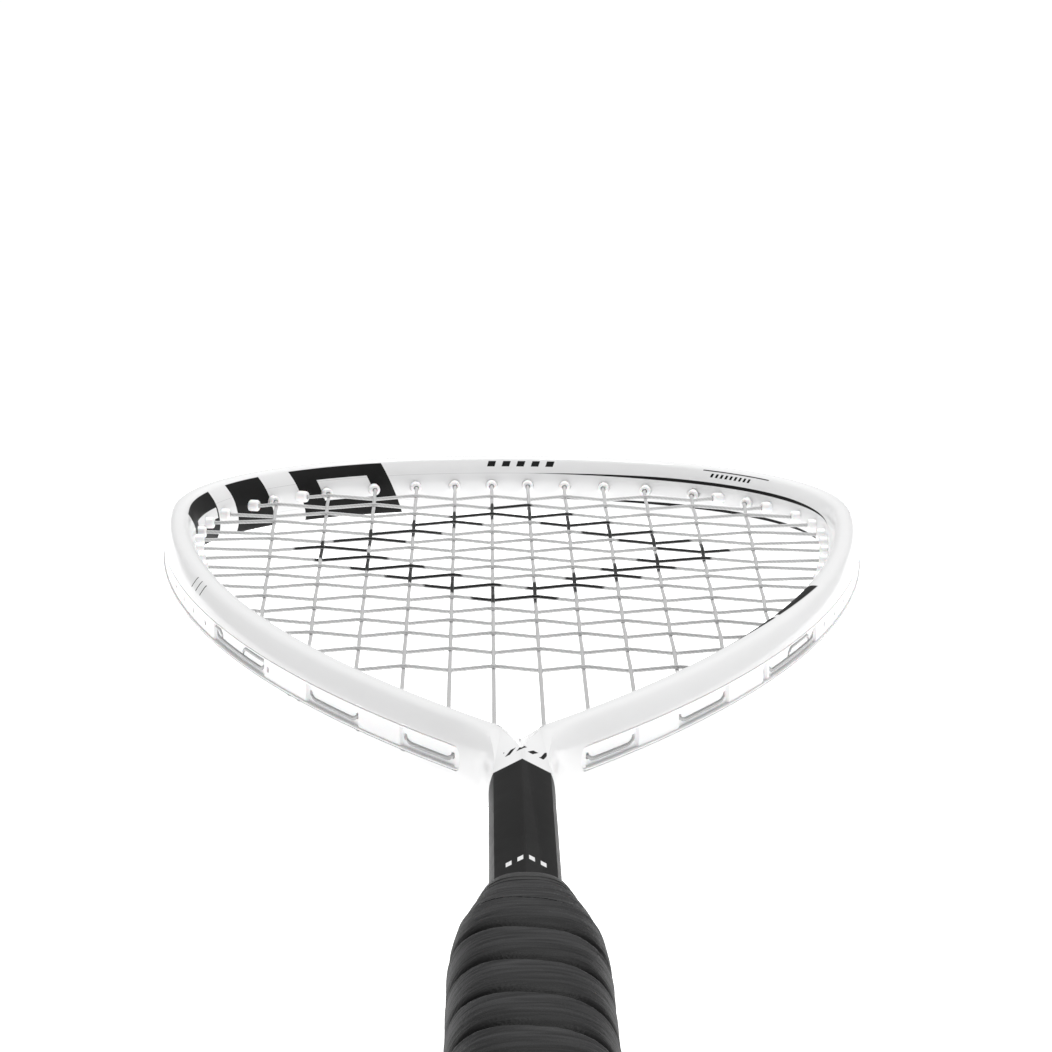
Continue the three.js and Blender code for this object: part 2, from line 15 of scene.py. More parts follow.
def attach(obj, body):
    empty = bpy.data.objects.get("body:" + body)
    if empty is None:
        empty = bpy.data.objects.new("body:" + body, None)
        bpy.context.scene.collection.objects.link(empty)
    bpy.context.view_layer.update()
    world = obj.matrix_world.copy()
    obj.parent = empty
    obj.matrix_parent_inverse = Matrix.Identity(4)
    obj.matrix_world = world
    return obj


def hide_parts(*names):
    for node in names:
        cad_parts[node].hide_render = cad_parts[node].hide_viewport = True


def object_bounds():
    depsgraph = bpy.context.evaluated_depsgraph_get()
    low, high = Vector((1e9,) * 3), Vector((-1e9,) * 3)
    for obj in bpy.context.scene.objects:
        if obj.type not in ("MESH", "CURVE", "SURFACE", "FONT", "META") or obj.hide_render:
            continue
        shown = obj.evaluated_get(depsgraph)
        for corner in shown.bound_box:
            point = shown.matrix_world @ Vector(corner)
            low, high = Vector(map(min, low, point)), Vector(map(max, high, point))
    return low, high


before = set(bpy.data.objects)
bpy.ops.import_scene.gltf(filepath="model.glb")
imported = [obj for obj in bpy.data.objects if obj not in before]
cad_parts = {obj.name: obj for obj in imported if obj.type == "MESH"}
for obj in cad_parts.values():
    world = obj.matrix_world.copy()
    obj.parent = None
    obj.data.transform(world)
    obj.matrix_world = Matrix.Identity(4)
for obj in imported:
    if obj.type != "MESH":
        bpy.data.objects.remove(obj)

cad_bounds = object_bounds()

# ---- Driving dimensions, as in the CAD model ----
MM = 0.001
THROAT_POINT = (5.6 * MM, 303.4 * MM)
FLANK_ANGLE = math.radians(35.57)
FLANK_REACH = 156 * MM
SIDE_X = 102.69 * MM
SIDE_Y = 590.7 * MM
SIDE_REACH_DOWN = 26 * MM
SIDE_REACH_UP = 46.4 * MM
TIP_Y = 680.16 * MM
TIP_REACH = 67.7 * MM

TUBE_WIDTH = 10 * MM
TUBE_HEIGHT = 18.5 * MM
CHAMFER_WIDTH = 2.9 * MM
CHAMFER_HEIGHT = 5.2 * MM
CHAMFER_TOP_ROUND = 2.9 * MM
CHAMFER_LOW_ROUND = 12 * MM
SHAFT_HALF_WIDTH = 7.6 * MM
SHAFT_END_Y = 3.8 * MM
NECK_Y = 276 * MM
NECK_BLEND = 16 * MM
RIDGE_SLOPE = 0.52
RIDGE_END_Y = 268 * MM
RIDGE_FADE_Y = 300 * MM
VALLEY_START_Y = 281 * MM
VALLEY_END_Y = 306 * MM
VALLEY_DEPTH = 3.5 * MM
VALLEY_HALF_WIDTH = 6.2 * MM

CHANNEL_DEPTH = 3 * MM
CHANNEL_HALF_HEIGHT = 3.1 * MM
CHANNEL_START = 7.3 * MM
BUMPER_START = 0.72
STRIP_BASE = 0.9 * MM
STRIP_LIP = 0.5 * MM
STRIP_GAP = 0.12 * MM
STRIP_FILL = 4.45 * MM
STRIP_OPEN = 3.75 * MM
STRIP_EASE = 0.15 * MM
LOOP_MARGIN = 1.5 * MM
LOOP_RAMP = 0.5 * MM
BUMPER_PROUD = 0.8 * MM
BUMPER_HALF_HEIGHT = 3.6 * MM
BARREL_RADIUS = 1.85 * MM
BARREL_DOME = 0.8 * MM
BARREL_STANDS_IN = 2.6 * MM
BARREL_CLEARANCE = 0.1 * MM
BORE_RADIUS = 0.85 * MM

STRING_RADIUS = 0.56 * MM
WEAVE = 0.62 * MM
LOOP_OFFSET = 1.2 * MM
LOOP_TURN = 1.8 * MM
LOOP_STEP = 3 * MM
MAIN_TIP_X = [6, 18.2, 31, 44.6, 59.7, 76.1]
MAIN_THROAT_X = [6.1, 17.4, 29.5, 41.8, 55.2, 70]
CROSS_Y = [
    651.5, 635.5, 620, 606, 590.5, 577.5, 564, 549, 535.5, 522.5, 508.5, 492, 476, 460.5, 444,
    424.5, 403.5,
]

HANDLE_STATIONS = [
    (0, 17.4, 15.2),
    (8, 18, 15.8),
    (20, 17, 14.9),
    (36, 15.9, 14),
    (134, 15.8, 13.8),
    (147, 15.1, 13.4),
    (158, 13.6, 12.6),
    (168, 11.6, 11.6),
    (176, 10, 11.1),
]
OVAL_POWER = 2.6
STATION_EASE = 5 * MM
GRIP_START_Y = 2.3 * MM
GRIP_END_Y = 168 * MM
COLLAR_END_Y = 176 * MM

INNER_FACE = -TUBE_WIDTH / 2
OUTER_FACE = TUBE_WIDTH / 2
MOUTH = INNER_FACE - BARREL_STANDS_IN - 0.6 * MM
STRIP_FLOOR = OUTER_FACE - CHANNEL_DEPTH + STRIP_GAP
STRIP_TOP = STRIP_FLOOR + STRIP_BASE
LOOP_LINE = STRIP_TOP + STRING_RADIUS
FREE_END = STRIP_TOP - 0.4 * MM

# Fineness of the meshes, and how far cutting tools reach past what they cut
LINE_POINTS = 1200
SEARCH_POINTS = 4000
FOOT_POINTS = 3000
FILLET_STEPS = 7
NECK_POINTS = 16
SHAFT_POINTS = 70
BEND_POINTS = 13
END_POINTS = 8
TOOL_REACH = 6 * MM
HOOP_STEP = 1.6 * MM
CROTCH_START = 1.4 * MM
CROTCH_STEP = 1.2 * MM
STRIP_STEP = 1.5 * MM
LEAST_STEP = 0.05 * MM
STRING_STEP = 0.9 * MM
STRING_EASE = 1.1 * MM
BARREL_SIDES = 20
BORE_SIDES = 14
STRING_SIDES = 10
HANDLE_SIDES = 96
GRIP_SIDES = 220
GRIP_ROWS = 400

# ---- Values of the camera, lights and stage ----
EYE = (-0.009569, -0.534328, 0.217019)
YAW = 0.7167
DOWN = 10.806
ROLL = 0.3652
SENSOR_WIDTH = 36
LENS = 125.61
FAR = 50
LIGHT_TARGET = (0, 0.4, 0)
OVERHEAD_LIGHT = {"place": (0.1, 0.95, 1.6), "size": 1.2, "power": 34}
FRONT_LIGHT = {"place": (0.2, -1.6, 0.9), "size": 1.0, "power": 3}
FLOOR_HALF_SIZE = 6
FLOOR_GLOW = 0.76
WORLD_STRENGTH = 0.32
WHITE = (1, 1, 1, 1)


# ---- Camera, floor and light ----
def add_camera():
    """Eye height and direction of the view along the handle towards the head."""
    data = bpy.data.cameras.new("camera")
    data.sensor_width = SENSOR_WIDTH
    data.lens = LENS
    data.clip_end = FAR
    camera = bpy.data.objects.new("camera", data)
    bpy.context.scene.collection.objects.link(camera)
    camera.location = EYE
    yaw, down, roll = math.radians(YAW), math.radians(DOWN), math.radians(ROLL)
    turn = Matrix.Rotation(-yaw, 3, "Z") @ Matrix.Rotation(math.pi / 2 - down, 3, "X")
    turn = turn @ Matrix.Rotation(roll, 3, "Z")
    camera.rotation_euler = turn.to_euler()
    bpy.context.scene.camera = camera


def add_area_light(name, place, size, power):
    data = bpy.data.lights.new(name, "AREA")
    data.shape = "DISK"
    data.size = size
    data.energy = power
    light = bpy.data.objects.new(name, data)
    bpy.context.scene.collection.objects.link(light)
    light.location = place
    direction = Vector(LIGHT_TARGET) - Vector(place)
    light.rotation_euler = direction.to_track_quat("-Z", "Y").to_euler()


# ---- Material graphs ----
class Surface:
    """A Principled material whose graph is put together one node at a time."""

    def __init__(self, name, **values):
        self.material = bpy.data.materials.new(name)
        self.material.use_nodes = True
        self.tree = self.material.node_tree
        self.shader = self.tree.nodes["Principled BSDF"]
        for key, value in values.items():
            self.shader.inputs[key].default_value = value

    def node(self, kind, **settings):
        made = self.tree.nodes.new("ShaderNode" + kind)
        for key, value in settings.items():
            setattr(made, key, value)
        return made

    def put(self, socket, value):
        if isinstance(value, bpy.types.NodeSocket):
            self.tree.links.new(value, socket)
        else:
            socket.default_value = value

    def math(self, operation, *values, clamp=False):
        made = self.node("Math", operation=operation, use_clamp=clamp)
        for socket, value in zip(made.inputs, values):
            self.put(socket, value)
        return made.outputs[0]

    def attribute(self, name):
        return self.node("Attribute", attribute_name=name).outputs["Fac"]

    def place(self, scale=(1, 1, 1)):
        coordinates = self.node("TexCoord").outputs["Object"]
        mapping = self.node("Mapping")
        mapping.inputs["Scale"].default_value = scale
        self.tree.links.new(coordinates, mapping.inputs["Vector"])
        return mapping.outputs["Vector"]

    def xyz(self):
        """Position in millimetres."""
        split = self.node("SeparateXYZ")
        self.put(split.inputs[0], self.place((1 / MM, 1 / MM, 1 / MM)))
        return split.outputs

    def noise(self, size, detail=3, stretch=(1, 1, 1)):
        """Noise from 0 to 1 whose blobs are about this size, in metres."""
        made = self.node("TexNoise")
        self.put(made.inputs["Vector"], self.place(stretch))
        made.inputs["Scale"].default_value = 1 / size
        made.inputs["Detail"].default_value = detail
        return made.outputs["Fac"]

    def remap(self, value, low, high):
        """A 0 to 1 value spread over another range."""
        return self.math("MULTIPLY_ADD", value, high - low, low)

    def above(self, value, edge, soft):
        return self.math("MULTIPLY_ADD", value, 1 / soft, 0.5 - edge / soft, clamp=True)

    def below(self, value, edge, soft):
        return self.math("MULTIPLY_ADD", value, -1 / soft, 0.5 + edge / soft, clamp=True)

    def within(self, value, low, high, soft=0.12):
        over = self.above(value, low, soft)
        return self.math("MULTIPLY", over, self.below(value, high, soft))

    def both(self, *masks):
        result = masks[0]
        for mask in masks[1:]:
            result = self.math("MULTIPLY", result, mask)
        return result

    def any(self, *masks):
        result = masks[0]
        for mask in masks[1:]:
            result = self.math("MAXIMUM", result, mask)
        return result

    def without(self, mask, cut):
        return self.math("MULTIPLY", mask, self.math("SUBTRACT", 1, cut))

    def mix(self, share, first, second):
        made = self.node("Mix", data_type="RGBA")
        self.put(made.inputs[0], share)
        for socket, value in zip((made.inputs[6], made.inputs[7]), (first, second)):
            self.put(socket, value)
        return made.outputs[2]

    def color(self, value):
        self.put(self.shader.inputs["Base Color"], value)

    def roughness(self, value):
        self.put(self.shader.inputs["Roughness"], value)

    def bump(self, height, distance, strength=1.0):
        made = self.node("Bump")
        made.inputs["Strength"].default_value = strength
        made.inputs["Distance"].default_value = distance
        self.put(made.inputs["Height"], height)
        self.tree.links.new(made.outputs["Normal"], self.shader.inputs["Normal"])


def grey(value, tint=(0, 0, 0)):
    return (value + tint[0], value + tint[1], value + tint[2], 1)


# ---- Meshes ----
def new_object(name, vertices, faces, material, smooth_angle=35):
    mesh = bpy.data.meshes.new(name)
    mesh.from_pydata([tuple(v) for v in vertices], [], faces)
    mesh.validate()
    piece = bpy.data.objects.new(name, mesh)
    bpy.context.scene.collection.objects.link(piece)
    if material:
        mesh.materials.append(material)
    shade(piece, smooth_angle)
    return piece


def shade(piece, angle):
    piece.data.shade_smooth()
    piece.data.set_sharp_from_angle(angle=math.radians(angle))


def loft(rings, ring_closed=True, path_closed=False, capped=True):
    """Vertices and faces through rings of equal length, each a row of points."""
    rings = np.asarray(rings, float)
    count, around = rings.shape[:2]
    faces = []
    for i in range(count if path_closed else count - 1):
        following = (i + 1) % count
        for j in range(around if ring_closed else around - 1):
            beside = (j + 1) % around
            faces.append(
                (i * around + j, i * around + beside, following * around + beside,
                 following * around + j)
            )
    if capped and not path_closed:
        faces.append(tuple(range(around))[::-1])
        faces.append(tuple(range((count - 1) * around, count * around)))
    return rings.reshape(-1, 3), faces


def joined(parts):
    """Several (vertices, faces) as one."""
    vertices, faces, start = [], [], 0
    for part_vertices, part_faces in parts:
        vertices.append(part_vertices)
        faces += [tuple(v + start for v in face) for face in part_faces]
        start += len(part_vertices)
    return np.vstack(vertices), faces


def outward(piece):
    """Turn every face of a closed piece to the outside."""
    mesh = bmesh.new()
    mesh.from_mesh(piece.data)
    bmesh.ops.recalc_face_normals(mesh, faces=mesh.faces)
    mesh.to_mesh(piece.data)
    mesh.free()
    return piece


def boolean(piece, operation, tool, smooth_angle=35):
    """Cut or join a closed tool piece, which is then removed."""
    modifier = piece.modifiers.new("boolean", "BOOLEAN")
    modifier.operation = operation
    modifier.solver = "EXACT"
    modifier.object = tool
    graph = bpy.context.evaluated_depsgraph_get()
    mesh = bpy.data.meshes.new_from_object(piece.evaluated_get(graph))
    piece.modifiers.clear()
    old = piece.data
    piece.data = mesh
    bpy.data.meshes.remove(old)
    bpy.data.objects.remove(tool)
    shade(piece, smooth_angle)
    return piece


def filleted(points, radii, steps):
    """A polyline with its inner corners rounded by arcs, in steps."""
    points = [np.array(p, float) for p in points]
    result = [points[0]]
    for before, corner, after, radius in zip(points, points[1:], points[2:], radii):
        back, ahead = before - corner, after - corner
        back /= np.linalg.norm(back)
        ahead /= np.linalg.norm(ahead)
        half = math.acos(np.clip(back @ ahead, -1, 1)) / 2
        middle = back + ahead
        middle /= np.linalg.norm(middle)
        centre = corner + middle * radius / math.sin(half)
        start = corner + back * radius / math.tan(half) - centre
        end = corner + ahead * radius / math.tan(half) - centre
        sweep = math.pi - 2 * half
        for i in range(steps + 1):
            part = i / steps
            result.append(
                centre
                + (start * math.sin((1 - part) * sweep) + end * math.sin(part * sweep))
                / math.sin(sweep)
            )
    result.append(points[-1])
    return np.array(result)


# ---- The hoop's centre line ----
def cubic(points, t):
    a, b, c, d = (np.array(p, float) for p in points)
    t = t[:, None]
    return (1 - t) ** 3 * a + 3 * (1 - t) ** 2 * t * b + 3 * (1 - t) * t**2 * c + t**3 * d


def centre_line():
    """Lengths from the throat along the right half of the hoop, with points and directions."""
    t = np.linspace(0, 1, LINE_POINTS)
    throat = np.array(THROAT_POINT)
    reach = FLANK_REACH * np.array([math.sin(FLANK_ANGLE), math.cos(FLANK_ANGLE)])
    flank = cubic(
        [throat, throat + reach, (SIDE_X, SIDE_Y - SIDE_REACH_DOWN), (SIDE_X, SIDE_Y)], t
    )
    tip = cubic(
        [(SIDE_X, SIDE_Y), (SIDE_X, SIDE_Y + SIDE_REACH_UP), (TIP_REACH, TIP_Y), (0, TIP_Y)], t
    )
    points = np.vstack([flank, tip[1:]])
    lengths = np.concatenate([[0], np.cumsum(np.hypot(*np.diff(points, axis=0).T))])
    tangents = np.gradient(points, lengths, axis=0)
    tangents /= np.hypot(*tangents.T)[:, None]
    return lengths, points, tangents


LENGTHS, POINTS, TANGENTS = centre_line()
HALF_LENGTH = LENGTHS[-1]


def hoop_normal(u):
    """Outward direction at u, the distance from the tip along the hoop, negative on the left."""
    u = np.asarray(u, float)
    along = HALF_LENGTH - np.abs(u)
    side = np.where(u < 0, -1.0, 1.0)
    across = np.interp(along, LENGTHS, TANGENTS[:, 1])
    up = -np.interp(along, LENGTHS, TANGENTS[:, 0])
    return np.stack([side * across, up], -1)


def hoop(u, outside):
    """Points at u along the hoop and a distance outside its centre line."""
    u = np.asarray(u, float)
    along = HALF_LENGTH - np.abs(u)
    side = np.where(u < 0, -1.0, 1.0)
    x = side * np.interp(along, LENGTHS, POINTS[:, 0])
    y = np.interp(along, LENGTHS, POINTS[:, 1])
    offset = np.asarray(outside, float)[..., None] if np.ndim(outside) else outside
    return np.stack([x, y], -1) + hoop_normal(u) * offset


# ---- Where each string passes through the hoop ----
class Passage:
    """A hole through the hoop, square to the tube or halfway between that and its string."""

    def __init__(self, along, side, direction=None):
        self.u = side * (HALF_LENGTH - along)
        self.side = side
        self.mouth = hoop(self.u, MOUTH)
        normal = hoop_normal(self.u)
        axis = normal if direction is None else normal + np.array(direction)
        self.axis = axis / np.linalg.norm(axis)
        self.slant = self.axis @ normal

    def at(self, outside):
        return self.mouth + self.axis * (outside - MOUTH) / self.slant

    def exit_u(self):
        """Distance from the tip, along the hoop, of the place where the string leaves."""
        target = self.at(LOOP_LINE)
        grid = np.linspace(self.u - 30 * MM, self.u + 30 * MM, 1201)
        grid = grid[np.abs(grid) < HALF_LENGTH]
        miss = np.hypot(*(hoop(grid, LOOP_LINE) - target).T)
        return float(grid[np.argmin(miss)])


def place_along(axis, value, low, high):
    """Distance from the throat, between two limits, where the holes' mouths reach a value."""
    grid = np.linspace(low, high, SEARCH_POINTS)
    line = hoop(HALF_LENGTH - grid, MOUTH)[:, axis]
    if line[-1] < line[0]:
        grid, line = grid[::-1], line[::-1]
    return float(np.interp(value, line, grid))


WIDEST = 0.62 * HALF_LENGTH


def make_main(i, side):
    """Both holes of the main string that is i-th from the middle."""
    throat = place_along(0, MAIN_THROAT_X[i] * MM, 0, WIDEST)
    tip = place_along(0, MAIN_TIP_X[i] * MM, WIDEST, HALF_LENGTH * 0.9999)
    return {
        "throat": Passage(throat, side),
        "tip": Passage(tip, side, (0, 1)),
    }


def make_cross(y):
    along = place_along(1, y * MM, 0, HALF_LENGTH)
    return {
        "y": y * MM,
        "left": Passage(along, -1, (-1, 0)),
        "right": Passage(along, 1, (1, 0)),
    }


mains = [make_main(i, -1) for i in reversed(range(6))] + [make_main(i, 1) for i in range(6)]
crosses = [make_cross(y) for y in CROSS_Y]
passages = [m[end] for m in mains for end in ("throat", "tip")]
passages += [c[side] for c in crosses for side in ("left", "right")]


# ---- Frame ----
def quadratic(start, control, end, count):
    t = np.linspace(0, 1, count)[:, None]
    start, control, end = (np.array(p, float) for p in (start, control, end))
    return (1 - t) ** 2 * start + 2 * (1 - t) * t * control + t**2 * end


def tube_profile():
    """Inset and height of the tube's surface, from the rim of its flat top down to the other."""
    half = TUBE_HEIGHT / 2
    crease = half - CHAMFER_HEIGHT
    upper = filleted(
        [(TUBE_WIDTH / 2, half), (CHAMFER_WIDTH, half), (0, crease), (0, 0)],
        [CHAMFER_TOP_ROUND, CHAMFER_LOW_ROUND],
        FILLET_STEPS,
    )[1:-1]
    lower = upper[::-1] * (1, -1)
    return np.vstack([upper, lower])


def chain_normals(points, closed):
    """Normals to the left of travel at each point of a chain."""
    if closed:
        step = np.roll(points, -1, 0) - np.roll(points, 1, 0)
    else:
        step = np.gradient(points, axis=0)
    step /= np.hypot(*step.T)[:, None]
    return np.stack([-step[:, 1], step[:, 0]], -1)


def mirrored(points):
    """The right-hand points, then their mirror image back down the left side."""
    left = points[points[:, 0] > 1e-7][::-1] * (-1, 1)
    return np.vstack([points, left])


def frame_mesh():
    """One closed skin: an outer chain of sections, an inner loop of them, and the flat tops."""
    profile = tube_profile()
    places = np.arange(NECK_BLEND, HALF_LENGTH - HOOP_STEP / 2, HOOP_STEP)
    ribbon = np.append(places, HALF_LENGTH)
    flank = hoop(HALF_LENGTH - ribbon, OUTER_FACE)
    corner = flank[0]
    rise = (corner[0] - SHAFT_HALF_WIDTH) / math.tan(FLANK_ANGLE)
    neck_start = (SHAFT_HALF_WIDTH, NECK_Y)
    neck = quadratic(neck_start, (SHAFT_HALF_WIDTH, corner[1] - rise), corner, NECK_POINTS)
    shaft_y = np.linspace(SHAFT_END_Y, NECK_Y, SHAFT_POINTS)[:-1]
    shaft = np.stack([np.full_like(shaft_y, SHAFT_HALF_WIDTH), shaft_y], -1)
    outer = mirrored(np.vstack([shaft, neck[:-1], flank]))
    crotch_places = np.arange(CROTCH_START, NECK_BLEND - 0.1 * MM, CROTCH_STEP)
    inner_along = np.concatenate([crotch_places, ribbon])
    inner_flank = hoop(HALF_LENGTH - inner_along, INNER_FACE)
    first = inner_flank[0]
    crotch = (0, first[1] - first[0] / math.tan(FLANK_ANGLE))
    bend = quadratic(first * (-1, 1), crotch, first, BEND_POINTS)[BEND_POINTS // 2:-1]
    inner = mirrored(np.vstack([bend, inner_flank]))

    def sections(chain, closed, sign):
        normals = chain_normals(chain, closed) * sign
        rings = []
        for inset, height in profile:
            moved = chain + normals * inset
            rings.append(np.column_stack([moved, np.full(len(chain), height)]))
        return np.stack(rings, 1)

    outer_rings = sections(outer, False, 1)
    inner_rings = sections(inner, True, -1)
    outer_count, inner_count, around = len(outer), len(inner), len(profile)
    parts = [
        loft(outer_rings, ring_closed=False, capped=False),
        loft(inner_rings, ring_closed=False, path_closed=True, capped=False),
    ]
    vertices, faces = joined(parts)
    inner_start = outer_count * around
    outer_first = len(shaft) + len(neck) - 1
    inner_first = len(bend) + len(inner_along) - len(ribbon)
    ribbon_faces = 2 * (len(ribbon) - 1)
    for row in (0, around - 1):
        outer_rim = [i * around + row for i in range(outer_count)]
        inner_rim = [inner_start + i * around + row for i in range(inner_count)]
        for i in range(ribbon_faces):
            faces.append(
                (outer_rim[outer_first + i], outer_rim[outer_first + i + 1],
                 inner_rim[inner_first + i + 1], inner_rim[inner_first + i])
            )
        yoke = outer_rim[: outer_first + 1]
        yoke += inner_rim[: inner_first + 1][::-1]
        yoke += inner_rim[inner_first + ribbon_faces:][::-1]
        yoke += outer_rim[outer_first + ribbon_faces:]
        faces.append(tuple(yoke))
    right_end = list(range(around))
    left_end = [(outer_count - 1) * around + i for i in range(around)]
    faces.append(tuple(right_end + left_end[::-1]))
    return vertices, faces


def band_rings(u_values, section):
    """Rings along the hoop. section(u) gives rows of (outside, z)."""
    rings = []
    for u in u_values:
        ring = section(u)
        places = hoop(np.full(len(ring), u), ring[:, 0])
        rings.append(np.column_stack([places, ring[:, 1]]))
    return rings


def rounded_ends(u_start, u_end, radius, step):
    """Steps along the hoop, closer together in the round ends."""
    turn = radius * (1 - np.cos(np.linspace(0.12, math.pi / 2, END_POINTS)))
    middle = np.arange(u_start + radius + step / 2, u_end - radius, step)
    return np.concatenate([u_start + turn, middle, (u_end - turn)[::-1]])


def round_share(u, u_start, u_end, radius):
    """How much of its height a band with round ends has at u, from 0 to 1."""
    inside = min(u - u_start, u_end - u, radius)
    return math.sqrt(max(1e-4, 1 - (1 - inside / radius) ** 2))


CHANNEL_END = HALF_LENGTH - CHANNEL_START


def channel_tool():
    floor = OUTER_FACE - CHANNEL_DEPTH

    def section(u):
        high = CHANNEL_HALF_HEIGHT * round_share(u, -CHANNEL_END, CHANNEL_END, CHANNEL_HALF_HEIGHT)
        top = OUTER_FACE + TOOL_REACH
        return np.array([(floor, -high), (top, -high), (top, high), (floor, high)])

    steps = rounded_ends(-CHANNEL_END, CHANNEL_END, CHANNEL_HALF_HEIGHT, HOOP_STEP)
    return loft(band_rings(steps, section))


def turned(passage, profile, sides):
    """A solid turned about a passage. profile rows are (outside, radius)."""
    across = np.array([-passage.axis[1], passage.axis[0]])
    rings = []
    for outside, radius in profile:
        centre = passage.at(outside)
        ring = []
        for i in range(sides):
            angle = 2 * math.pi * i / sides
            flat = centre + across * radius * math.cos(angle)
            ring.append((flat[0], flat[1], radius * math.sin(angle)))
        rings.append(ring)
    return loft(rings)


def add_hoop_places(piece):
    """Store, on each vertex, the distance from the tip along the hoop and outside it, in mm."""
    mesh = piece.data
    co = np.empty(len(mesh.vertices) * 3)
    mesh.vertices.foreach_get("co", co)
    co = co.reshape(-1, 3)
    grid = np.linspace(0, HALF_LENGTH, FOOT_POINTS)
    line = hoop(HALF_LENGTH - grid, 0)
    normals = hoop_normal(HALF_LENGTH - grid)
    place = np.empty(len(co))
    outside = np.empty(len(co))
    folded = np.column_stack([np.abs(co[:, 0]), co[:, 1]])
    batch = 2000
    for start in range(0, len(co), batch):
        some = folded[start:start + batch]
        gaps = some[:, None, :] - line[None]
        nearest = np.argmin((gaps**2).sum(-1), axis=1)
        rows = np.arange(len(some))
        gap = gaps[rows, nearest]
        tangent = np.stack([-normals[nearest, 1], normals[nearest, 0]], -1)
        exact = grid[nearest] + (gap * tangent).sum(-1)
        place[start:start + batch] = HALF_LENGTH - exact
        outside[start:start + batch] = (gap * normals[nearest]).sum(-1)
    place *= np.where(co[:, 0] < 0, -1, 1)
    for name, values in (("place", place), ("outside", outside)):
        stored = mesh.attributes.new(name, "FLOAT", "POINT")
        stored.data.foreach_set("value", (values / MM).astype(np.float32))


# ---- Paint of the frame ----
# Decals are plain shapes, in mm. Along is the distance from the tip along the hoop, positive on
# the right, and leaning edges add a share of the height to it.
SOFT = 0.12
SIDE_SOFT = 0.3
INNER_SIDE = -1.0
OUTER_SIDE = 0.5
BLOCK_LEAN = 0.45
BLOCKS = [(-163, -123), (-110, -91), (-77, -41)]
BLOCK_HEIGHT = (-9.6, 8.2)
WINDOW_ALONG = (-68, -48.5)
WINDOW_HEIGHT = (-2.5, 4.6)
STRIPE_ALONG = (-150, -124)
STRIPE_HEIGHT = (-0.6, 3.0)
WEDGE_ALONG = (282, 410)
WEDGE_GAP = (323, 326.5)
WEDGE_EDGE = 9.4
WEDGE_SLOPE = 0.03
WEDGE_BOTTOM = -4.4
PINSTRIPE_LEVELS = (4.1, -4.3)
PINSTRIPE_ALONG = (30, 138)
PINSTRIPE_FADE = 50
PINSTRIPE_HALF_WIDTH = 0.52
LINE_ALONG = (66, 95)
LINE_HEIGHT = (8.0, 8.3)
TICK_ALONG = (165.5, 166.5)
TICK_HEIGHT = (5.2, 8.8)
SHAFT_PAINT_END = 273
SHAFT_TOP = 6
SHAFT_SIDE = 7.2
YOKE_TOP = 3

# A row of bars lies between two limits along and two in height. Its bars repeat from a start.
BarRow = namedtuple("BarRow", "along height start period bar soft")
BAR_LEAN = -0.35
TIP_ROW = BarRow((-10.2, 12.6), (6.2, 7.9), -200, 5.0, 2.6, SOFT)
NOTE_ROW = BarRow((70, 88), (6.2, 7.4), -200, 2.0, 1.0, SOFT)
SIDE_ROW = BarRow((-276, -261), (5.6, 8.6), -400, 6.0, 0.8, SOFT)
YOKE_ROW = BarRow((-4.2, 5.8), (282, 286), -360, 2.6, 1.2, SOFT)
SHAFT_ROW = BarRow((-4.3, 4.3), (192, 195), -25.8, 2.4, 1.2, SOFT)
EDGE_ROW = BarRow((180, 225), (-1.4, 1.4), 0, 11.0, 6.5, SIDE_SOFT)


def bar_row(s, row, along, height, leaning=None):
    """A row of bars. Leaning takes the place of along in the bars' own edges."""
    from_start = s.math("SUBTRACT", leaning or along, row.start)
    bars = s.within(s.math("MODULO", from_start, row.period), 0, row.bar, row.soft)
    ends = s.within(along, *row.along, row.soft)
    return s.both(bars, ends, s.within(height, *row.height, row.soft))


def hoop_ink(s, z):
    """Black decals on the inner and outer side of the hoop."""
    place, outside = s.attribute("place"), s.attribute("outside")
    inner = s.below(outside, INNER_SIDE, SIDE_SOFT)
    outer = s.above(outside, OUTER_SIDE, SIDE_SOFT)
    slanted = s.math("MULTIPLY_ADD", z, BLOCK_LEAN, place)
    leaning = s.math("MULTIPLY_ADD", z, BAR_LEAN, place)

    blocks = s.any(*[s.within(slanted, *along) for along in BLOCKS])
    blocks = s.both(blocks, s.within(z, *BLOCK_HEIGHT))
    window = s.both(s.within(slanted, *WINDOW_ALONG), s.within(z, *WINDOW_HEIGHT))
    stripe = s.both(s.within(slanted, *STRIPE_ALONG), s.within(z, *STRIPE_HEIGHT))
    blocks = s.without(blocks, s.any(window, stripe))

    share = s.within(place, *PINSTRIPE_ALONG, PINSTRIPE_FADE)
    half_width = s.math("MULTIPLY", share, PINSTRIPE_HALF_WIDTH)
    pinstripes = []
    for level in PINSTRIPE_LEVELS:
        off = s.math("ABSOLUTE", s.math("SUBTRACT", z, level))
        pinstripes.append(s.above(s.math("SUBTRACT", half_width, off), 0, SOFT))

    tip_row = bar_row(s, TIP_ROW, leaning, z)
    note_row = bar_row(s, NOTE_ROW, leaning, z)
    line = s.both(s.within(leaning, *LINE_ALONG), s.within(z, *LINE_HEIGHT))
    side_row = bar_row(s, SIDE_ROW, slanted, z)
    tick = s.both(s.within(slanted, *TICK_ALONG), s.within(z, *TICK_HEIGHT))

    inset = s.math("MULTIPLY_ADD", slanted, WEDGE_SLOPE, outside)
    wedge = s.both(s.below(inset, WEDGE_EDGE, SIDE_SOFT), s.above(z, WEDGE_BOTTOM, SOFT))
    wedge = s.both(wedge, s.within(slanted, *WEDGE_ALONG))
    wedge = s.without(wedge, s.within(slanted, *WEDGE_GAP))

    on_inner = s.both(inner, s.any(blocks, *pinstripes, tip_row, note_row, line))
    on_outer = s.both(outer, s.any(side_row, tick))
    return s.any(on_inner, on_outer, wedge)


